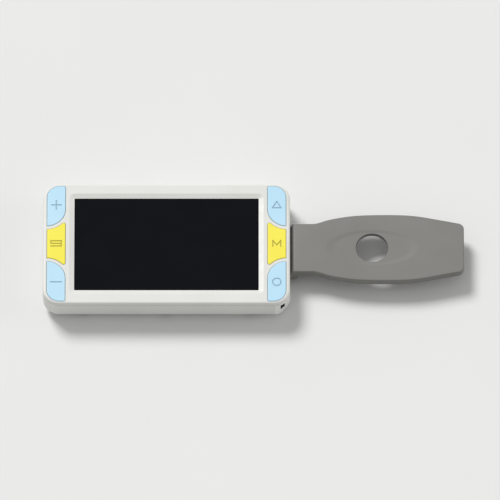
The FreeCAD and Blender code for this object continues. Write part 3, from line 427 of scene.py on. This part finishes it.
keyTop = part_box("key_plus")[1].z
paneClear = 8.05 * mm   # radius of the camera window's clear middle
paint = {
    "case_plastic": caseMaterial("AbsOffWhiteTextured"),
    "key_blue": keyMaterial("AbsPaleBlueKey", "#BFE5F8", "#B8E0F5", "#93B2C2", keyTop),
    "key_yellow": keyMaterial("AbsYellowKey", "#F9EE4C", "#F6E83C", "#B5A935", keyTop),
    "handle_plastic": plainAbs("AbsWarmGreyTextured", "#7C7B77", "#767571", 0.50, 1.4),
    "display_glass": displayMaterial("CoatedCoverGlass"),
    "panel_glass": epoxyMaterial("PanelGlassBlack", "#101318", "#15181E", 0.18),
    "panel_metal": metalMaterial("PressedSteelTray", "#B9B9B6", "#A5A5A2", 0.34, 0.3),
    "foam": rubberMaterial("BlackFoam", "#1B1B1C", "#2C2C2D"),
    "board_green": boardMaterial("GlassEpoxyBoard", "#0E4A28", "#2C7A44"),
    "chip_black": epoxyMaterial("ChipEpoxy", "#1B1B1D", "#29292B", 0.55),
    "switch_black": epoxyMaterial("SwitchNylonBlack", "#202022", "#2C2C2E", 0.5),
    "switch_stem": epoxyMaterial("SwitchNylonTan", "#B9A67E", "#A8956E", 0.45),
    "flex": flexMaterial("PolyimideFlex"),
    "socket_white": epoxyMaterial("NylonNatural", "#E4DFCB", "#D6D0BA", 0.45),
    "battery_wrap": wrapMaterial("HeatShrinkBlue"),
    "lead_red": epoxyMaterial("PvcRed", "#B01818", "#C02424", 0.35),
    "lead_black": epoxyMaterial("PvcBlack", "#161617", "#222223", 0.35),
    "screw_steel": metalMaterial("ZincPlatedSteel", "#B4B6B8", "#9FA1A4", 0.3, 0.2),
    "pin_steel": metalMaterial("GroundSteel", "#C2C3C4", "#ABACAE", 0.22, 0.15, 1),
    "pin_black": metalMaterial("BlackenedSteel", "#4A4A4B", "#38383A", 0.4, 0.2, 2),
    "washer": epoxyMaterial("AcetalNatural", "#D8D4C4", "#CCC7B4", 0.38),
    "socket_metal": metalMaterial("NickelPlatedShell", "#C9C7C0", "#B4B1A9", 0.25, 0.25, 1),
    "socket_black": epoxyMaterial("SocketNylonBlack", "#18181A", "#232325", 0.45),
    "lamp": clearMaterial("AcrylicLightPipe", "#F4F6F4", 0.12),
    "camera_black": epoxyMaterial("CameraNylonBlack", "#121213", "#1B1B1C", 0.5),
    "lens": clearMaterial("CoatedLensGlass", "#D8DCF4", 0.0),
    "camera_pane": clearMaterial("CameraPane", "#F6F8F8", 0.02, paneClear, middle("camera_window")),
    "foot_rubber": rubberMaterial("GreySiliconeFoot", "#5A5A59", "#7A7A77"),
}
for part in record["subparts"]:
    holder = nodes[part["node"]]
    holder.data.materials.clear()
    holder.data.materials.append(paint[part["material_slot"]])
phosphor = phosphorMaterial("LampPhosphor")
goldPlate = metalMaterial("GoldFlashContact", "#D9B45A", "#C79F45", 0.25, 0.2, 1)
print("finishes made:", len(paint) + 2)


def startTree(name, sizes):  # a tree with a geometry input, then named sizes and a finish
    tree = bpy.data.node_groups.new(name, "GeometryNodeTree")
    tree.interface.new_socket("Geometry", in_out="INPUT", socket_type="NodeSocketGeometry")
    for label, value in sizes.items():
        kind = "NodeSocketInt" if isinstance(value, int) else "NodeSocketFloat"
        tree.interface.new_socket(label, in_out="INPUT", socket_type=kind).default_value = value
    tree.interface.new_socket("Finish", in_out="INPUT", socket_type="NodeSocketMaterial")
    tree.interface.new_socket("Geometry", in_out="OUTPUT", socket_type="NodeSocketGeometry")
    add = partial(addNode, tree)
    return tree, add, add("NodeGroupInput").outputs


def endTree(add, given, geometry):  # put the shape on each point, realise, set the finish, out
    spread = add("GeometryNodeInstanceOnPoints", {"Points": given["Geometry"], **geometry})
    real = add("GeometryNodeRealizeInstances", {0: spread})
    painted = add("GeometryNodeSetMaterial", {"Geometry": real, "Material": given["Finish"]})
    add("NodeGroupOutput", {0: painted})


def fromAxis(add):  # each point's height, and its distance from the upright axis through its own origin
    place = add("ShaderNodeSeparateXYZ", {0: add("GeometryNodeInputPosition")})
    flat = add("ShaderNodeCombineXYZ", {"X": place.outputs["X"], "Y": place.outputs["Y"]})
    return place.outputs["Z"], add("ShaderNodeVectorMath", {0: flat}, operation="LENGTH")


def raiseUnder(add, shape, rise, height, limit):  # lift the points that lie under a height
    under = add("ShaderNodeMath", {0: height, 1: limit}, operation="LESS_THAN")
    lift = add("ShaderNodeMath", {0: rise, 1: under}, operation="MULTIPLY")
    return add("GeometryNodeSetPosition", {
        "Geometry": shape, "Offset": add("ShaderNodeCombineXYZ", {"Z": lift})})


def keepPiece(name, mesh, body, smooth=35):
    piece = bpy.data.objects.new(name, mesh)
    bpy.context.scene.collection.objects.link(piece)
    mesh.shade_smooth()
    mesh.set_sharp_from_angle(angle=math.radians(smooth))
    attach(piece, body)
    return piece


def growTree(name, tree, points, sizes, finish, body):  # run a tree on these points, keep the plain mesh
    seedMesh = bpy.data.meshes.new(name + "Points")
    seedMesh.from_pydata([tuple(p) for p in points], [], [])
    carrier = bpy.data.objects.new(name + "Carrier", seedMesh)
    bpy.context.scene.collection.objects.link(carrier)
    modifier = carrier.modifiers.new("Grow", "NODES")
    modifier.node_group = tree
    for item in tree.interface.items_tree:
        if item.in_out == "INPUT" and item.name in sizes:
            modifier[item.identifier] = sizes[item.name]
        if item.in_out == "INPUT" and item.name == "Finish":
            modifier[item.identifier] = finish
    mesh = bpy.data.meshes.new_from_object(carrier.evaluated_get(bpy.context.evaluated_depsgraph_get()))
    bpy.data.objects.remove(carrier)
    mesh.name = name
    if not mesh.materials:
        mesh.materials.append(finish)
    return keepPiece(name, mesh, body)


def solidBoxes(node):  # lowest and highest corner of each separate solid of a CAD node
    mesh = bmesh.new()
    mesh.from_mesh(nodes[node].data)
    bmesh.ops.remove_doubles(mesh, verts=mesh.verts, dist=1e-6)
    left, found = set(mesh.verts), []
    while left:
        edge = [left.pop()]
        group = list(edge)
        while edge:
            vert = edge.pop()
            beside = {link.other_vert(vert) for link in vert.link_edges} & left
            left -= beside
            edge += beside
            group += beside
        found.append([Vector(pick(v.co[i] for v in group) for i in range(3)) for pick in (min, max)])
    mesh.free()
    return sorted(found, key=lambda pair: (round(pair[0].x, 4), round(pair[0].y, 4)))


screwSizes = {
    "Head Radius": 1.9 * mm, "Head Height": 1.3 * mm, "Dome": 0.35 * mm, "Recess Width": 0.46 * mm,
    "Recess Depth": 0.75 * mm, "Shank Radius": 0.95 * mm, "Shank Length": 8.0 * mm, "Seed": 4}


def screwTree():  # pan head with a domed top, a tapered cross recess and a shank, each turned its own way
    tree, add, given = startTree("CrossRecessScrew", screwSizes)
    head = add("GeometryNodeMeshCylinder", {
        "Vertices": 36, "Side Segments": 2, "Fill Segments": 7, "Radius": given["Head Radius"],
        "Depth": given["Head Height"]})
    height, reach = fromAxis(add)
    share = add("ShaderNodeMath", {0: reach, 1: given["Head Radius"]}, operation="DIVIDE")
    share = add("ShaderNodeMath", {0: share, 1: 4.0}, operation="POWER")    # flat middle, round edge
    drop = add("ShaderNodeMath", {0: share, 1: given["Dome"]}, operation="MULTIPLY")
    domed = raiseUnder(add, head, drop, height, 0.0)
    half = add("ShaderNodeMath", {0: given["Head Height"], 1: -0.5}, operation="MULTIPLY")
    low = add("ShaderNodeCombineXYZ", {"Z": half})
    size = add("ShaderNodeCombineXYZ", {    # an arm of the cross spans a little over half the head
        "X": add("ShaderNodeMath", {0: given["Head Radius"], 1: 1.15}, operation="MULTIPLY"),
        "Y": given["Recess Width"],
        "Z": add("ShaderNodeMath", {0: given["Recess Depth"], 1: 2.0}, operation="MULTIPLY")})
    arm = add("GeometryNodeMeshCube", {"Size": size})
    tools = [add("GeometryNodeTransform", {"Geometry": arm, "Translation": low, "Rotation": (0, 0, turn)})
             for turn in (0.0, math.pi / 2)]
    core = add("GeometryNodeMeshCone", {
        "Vertices": 20, "Depth": given["Recess Depth"],
        "Radius Top": add("ShaderNodeMath", {0: given["Recess Width"], 1: 0.5}, operation="MULTIPLY"),
        "Radius Bottom": add("ShaderNodeMath", {0: given["Recess Width"], 1: 1.15}, operation="MULTIPLY")})
    under = add("ShaderNodeMath", {0: half, 1: 0.02 * mm}, operation="SUBTRACT")    # clear of the face
    tools.append(add("GeometryNodeTransform", {
        "Geometry": core, "Translation": add("ShaderNodeCombineXYZ", {"Z": under})}))
    cut = add("GeometryNodeMeshBoolean", {"Mesh 1": domed, "Mesh 2": tools}, operation="DIFFERENCE")
    shank = add("GeometryNodeMeshCylinder", {
        "Vertices": 24, "Radius": given["Shank Radius"], "Depth": given["Shank Length"]})
    rise = add("ShaderNodeMath", {0: given["Shank Length"], 1: given["Head Height"]}, operation="ADD")
    rise = add("ShaderNodeMath", {0: rise, 1: 0.5}, operation="MULTIPLY")
    shank = add("GeometryNodeTransform", {
        "Geometry": shank, "Translation": add("ShaderNodeCombineXYZ", {"Z": rise})})
    both = add("GeometryNodeJoinGeometry", {0: [cut, shank]})
    turnBy = add("FunctionNodeRandomValue", {"Max": (0, 0, math.pi), "Seed": given["Seed"]},
                 data_type="FLOAT_VECTOR")
    endTree(add, given, {"Instance": both, "Rotation": turnBy})
    return tree


screwAt = [(a + b) / 2 for a, b in solidBoxes("case_screws")]
for spot in screwAt:
    spot.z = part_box("case_screws")[0].z + screwSizes["Head Height"] / 2
screws = growTree("caseScrewSet", screwTree(), screwAt, screwSizes, paint["screw_steel"],
                  bodyOf["case_screws"])
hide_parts("case_screws")
print("case screws:", len(screwAt))

footSizes = {"Radius": 3.6 * mm, "Height": 1.4 * mm, "Rim": 0.35 * mm, "Ring Step": 0.9 * mm,
             "Ring Depth": 0.12 * mm}


def footTree():  # soft pad with a rolled rim and shallow rings underneath
    tree, add, given = startTree("RingedFoot", footSizes)
    pad = add("GeometryNodeMeshCylinder", {
        "Vertices": 64, "Side Segments": 3, "Fill Segments": 28, "Radius": given["Radius"],
        "Depth": given["Height"]})
    height, reach = fromAxis(add)
    steps = add("ShaderNodeMath", {0: reach, 1: given["Ring Step"]}, operation="DIVIDE")
    wave = add("ShaderNodeMath", {0: steps, 1: 2 * math.pi}, operation="MULTIPLY")
    wave = add("ShaderNodeMath", {0: wave}, operation="COSINE")
    wave = add("ShaderNodeMath", {0: wave, 1: 0.5, 2: 0.5}, operation="MULTIPLY_ADD")
    ring = add("ShaderNodeMath", {0: wave, 1: given["Ring Depth"]}, operation="MULTIPLY")
    share = add("ShaderNodeMath", {0: reach, 1: given["Radius"]}, operation="DIVIDE")
    share = add("ShaderNodeMath", {0: share, 1: 14.0}, operation="POWER")   # only the last ring rolls
    rim = add("ShaderNodeMath", {0: share, 1: given["Rim"]}, operation="MULTIPLY")
    rise = add("ShaderNodeMath", {0: ring, 1: rim}, operation="MAXIMUM")
    edge = add("ShaderNodeMath", {0: given["Height"], 1: -0.45}, operation="MULTIPLY")
    endTree(add, given, {"Instance": raiseUnder(add, pad, rise, height, edge)})
    return tree


footAt = [(a + b) / 2 for a, b in solidBoxes("rubber_feet")]
feet = growTree("rubberFootSet", footTree(), footAt, footSizes, paint["foot_rubber"],
                bodyOf["rubber_feet"])
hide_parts("rubber_feet")
print("feet:", len(footAt))

lampSizes = {"Side": 2.8 * mm, "Height": 0.7 * mm, "Well Radius": 1.0 * mm, "Well Depth": 0.3 * mm}
domeSizes = {"Radius": 0.82 * mm, "Height": 0.22 * mm, "Fall": 0.154 * mm}


def lampTree():  # square lamp body with a round tapered well in its outer face
    tree, add, given = startTree("CameraLampBody", lampSizes)
    size = add("ShaderNodeCombineXYZ", {"X": given["Side"], "Y": given["Side"], "Z": given["Height"]})
    block = add("GeometryNodeMeshCube", {"Size": size})
    well = add("GeometryNodeMeshCone", {    # reaches as far outside the face as inside it
        "Vertices": 40,
        "Radius Top": add("ShaderNodeMath", {0: given["Well Radius"], 1: 0.8}, operation="MULTIPLY"),
        "Radius Bottom": add("ShaderNodeMath", {0: given["Well Radius"], 1: 1.2}, operation="MULTIPLY"),
        "Depth": add("ShaderNodeMath", {0: given["Well Depth"], 1: 2.0}, operation="MULTIPLY")})
    half = add("ShaderNodeMath", {0: given["Height"], 1: -0.5}, operation="MULTIPLY")
    low = add("ShaderNodeMath", {0: half, 1: given["Well Depth"]}, operation="SUBTRACT")
    well = add("GeometryNodeTransform", {
        "Geometry": well, "Translation": add("ShaderNodeCombineXYZ", {"Z": low})})
    cut = add("GeometryNodeMeshBoolean", {"Mesh 1": block, "Mesh 2": well}, operation="DIFFERENCE")
    endTree(add, given, {"Instance": cut})
    return tree


def domeTree():  # low dome of phosphor in each lamp's well
    tree, add, given = startTree("PhosphorDome", domeSizes)
    disc = add("GeometryNodeMeshCylinder", {
        "Vertices": 32, "Side Segments": 1, "Fill Segments": 6, "Radius": given["Radius"],
        "Depth": given["Height"]})
    height, reach = fromAxis(add)
    share = add("ShaderNodeMath", {0: reach, 1: given["Radius"]}, operation="DIVIDE")
    share = add("ShaderNodeMath", {0: share, 1: 2.0}, operation="POWER")
    drop = add("ShaderNodeMath", {0: share, 1: given["Fall"]}, operation="MULTIPLY")
    endTree(add, given, {"Instance": raiseUnder(add, disc, drop, height, 0.0)})
    return tree


lampAt = [(a + b) / 2 for a, b in solidBoxes("camera_lamps")]
lampBodies = growTree("cameraLampBodies", lampTree(), lampAt, lampSizes, paint["socket_white"],
                      bodyOf["camera_lamps"])
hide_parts("camera_lamps")
sink = lampSizes["Height"] / 2 - lampSizes["Well Depth"] + domeSizes["Height"] / 2
domes = growTree("cameraLampDomes", domeTree(), [p - Vector((0, 0, sink)) for p in lampAt], domeSizes,
                 phosphor, bodyOf["camera_lamps"])
print("camera lamps:", len(lampAt))

contactSizes = {"Pitch": 0.5 * mm, "Count": 12, "Width": 0.26 * mm, "Length": 3.6 * mm,
                "Thickness": 0.06 * mm}
contactInset = 0.4 * mm     # from the tongue's outer end


def contactTree():  # one row of flat contacts
    tree, add, given = startTree("ContactRow", contactSizes)
    size = add("ShaderNodeCombineXYZ", {"X": given["Width"], "Y": given["Length"], "Z": given["Thickness"]})
    pad = add("GeometryNodeMeshCube", {"Size": size})
    gaps = add("ShaderNodeMath", {0: given["Count"], 1: 1.0}, operation="SUBTRACT")
    reach = add("ShaderNodeMath", {0: gaps, 1: given["Pitch"]}, operation="MULTIPLY")
    start = add("ShaderNodeMath", {0: reach, 1: -0.5}, operation="MULTIPLY")
    row = add("GeometryNodeMeshLine", {
        "Count": given["Count"], "Start Location": add("ShaderNodeCombineXYZ", {"X": start}),
        "Offset": add("ShaderNodeCombineXYZ", {"X": given["Pitch"]})})
    endTree(add, given, {"Instance": add("GeometryNodeInstanceOnPoints", {"Points": row, "Instance": pad})})
    return tree


tongueLow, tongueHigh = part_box("usb_tongue")
contactY = tongueHigh.y - contactSizes["Length"] / 2 - contactInset
contactAt = [Vector((middle("usb_tongue").x, contactY, z)) for z in (tongueLow.z, tongueHigh.z)]
contacts = growTree("socketContacts", contactTree(), contactAt, contactSizes, goldPlate,
                    bodyOf["usb_tongue"])
print("socket contacts:", contactSizes["Count"] * 2)


def turned(name, profile, centre, finish, body, steps=72):  # closed profile of (radius, z), turned round Z
    mesh = bmesh.new()
    turns = [2 * math.pi * i / steps for i in range(steps)]
    rings = [[mesh.verts.new((centre.x + radius * math.cos(a), centre.y + radius * math.sin(a), z))
              for a in turns] for radius, z in profile]
    for a, b in zip(rings, rings[1:] + rings[:1]):
        for i in range(steps):
            mesh.faces.new((a[i - 1], a[i], b[i], b[i - 1]))
    bmesh.ops.recalc_face_normals(mesh, faces=mesh.faces)
    data = bpy.data.meshes.new(name)
    mesh.to_mesh(data)
    mesh.free()
    data.materials.append(finish)
    return keepPiece(name, data, body, 25)


# Lens barrel with stepped anti-glare rings round the glass
barrel = dict(
    outer=3.0 * mm, inner=1.95 * mm, rim=0.35 * mm, chamfer=0.15 * mm,
    steps=4, stepDepth=0.12 * mm,
)
low, top = (corner.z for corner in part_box("lens_barrel"))
outer, chamfer = barrel["outer"], barrel["chamfer"]
profile = [(barrel["inner"], top), (outer, top), (outer, low + chamfer), (outer - chamfer, low)]
width = (outer - barrel["rim"] - barrel["inner"]) / barrel["steps"]
for i in range(barrel["steps"]):
    radius = outer - barrel["rim"] - i * width
    depth = low + barrel["stepDepth"] * (i + 1)
    profile += [(radius, depth - barrel["stepDepth"]), (radius, depth), (radius - width, depth)]
barrelPiece = turned("lensBarrelStepped", profile, middle("lens_barrel"), paint["camera_black"],
                     bodyOf["lens_barrel"])
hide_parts("lens_barrel")
print("lens barrel made")

table = dict(halfM=2.0, colour="#E9E9E8", deeper="#E5E5E4", cloudMm=120.0, roughness=0.6)


def tableMaterial(name):
    # Sprayed satin lacquer on a pale table: almost even, with the slightest clouding
    s = table
    material, add, where = newMaterial(name)
    cloud = add("ShaderNodeTexNoise", {"Vector": where, "Scale": perSize(s["cloudMm"]), "Detail": 3.0})
    base = add("ShaderNodeMix", {"Factor": cloud, "A": linear(s["colour"]), "B": linear(s["deeper"])},
               data_type="RGBA")
    return endMaterial(material, add, {"Base Color": base, "Roughness": s["roughness"]})


tableMesh = bpy.data.meshes.new("paleTable")
corners = [(x * table["halfM"], y * table["halfM"], 0) for x, y in ((-1, -1), (1, -1), (1, 1), (-1, 1))]
tableMesh.from_pydata(corners, [], [(0, 1, 2, 3)])
tableMesh.materials.append(tableMaterial("PaleLacquer"))
tableTop = bpy.data.objects.new("paleTable", tableMesh)
bpy.context.scene.collection.objects.link(tableTop)

studio = dict(
    sky=0.42,                       # even light from all round
    keyStrength=2.25, keySoft=22,   # large soft key light, in degrees across
    keyFrom=(-0.38, 0.55, 0.743),
    rimStrength=0.75, rimSoft=35,   # low weak light on the edges that face right
    rimFrom=(0.98, 0.02, 0.2),
)
world = bpy.data.worlds.new("studioSky")
world.use_nodes = True
bpy.context.scene.world = world
world.node_tree.nodes.clear()
sky = addNode(world.node_tree, "ShaderNodeBackground", {
    "Color": linear("#FFFFFF"), "Strength": studio["sky"]})
addNode(world.node_tree, "ShaderNodeOutputWorld", {"Surface": sky})
for name in ("key", "rim"):
    light = bpy.data.lights.new(name + "Light", "SUN")
    light.energy = studio[name + "Strength"]
    light.angle = math.radians(studio[name + "Soft"])
    lamp = bpy.data.objects.new(name + "Light", light)
    lamp.location = studio[name + "From"]
    lamp.rotation_euler = (-Vector(studio[name + "From"])).to_track_quat("-Z", "Y").to_euler()
    bpy.context.scene.collection.objects.link(lamp)

shot = dict(elevation=61.3, aim=(-0.0021, -0.0045, 0.0193), across=0.3008,
            lensMm=1200, sensorMm=36)   # a very long lens keeps parallel edges parallel
lens = bpy.data.cameras.new("threeQuarterTop")
lens.lens, lens.sensor_width = shot["lensMm"], shot["sensorMm"]
away = shot["across"] * shot["lensMm"] / shot["sensorMm"]
lens.clip_end = 2 * away
camera = bpy.data.objects.new("threeQuarterTop", lens)
tilt = math.radians(shot["elevation"])
back = Vector((0, -math.cos(tilt), math.sin(tilt)))
camera.location = Vector(shot["aim"]) + back * away
camera.rotation_euler = (-back).to_track_quat("-Z", "Y").to_euler()
bpy.context.scene.collection.objects.link(camera)
bpy.context.scene.camera = camera
bpy.context.scene.view_settings.view_transform = "Standard"
print("table, light and camera set")
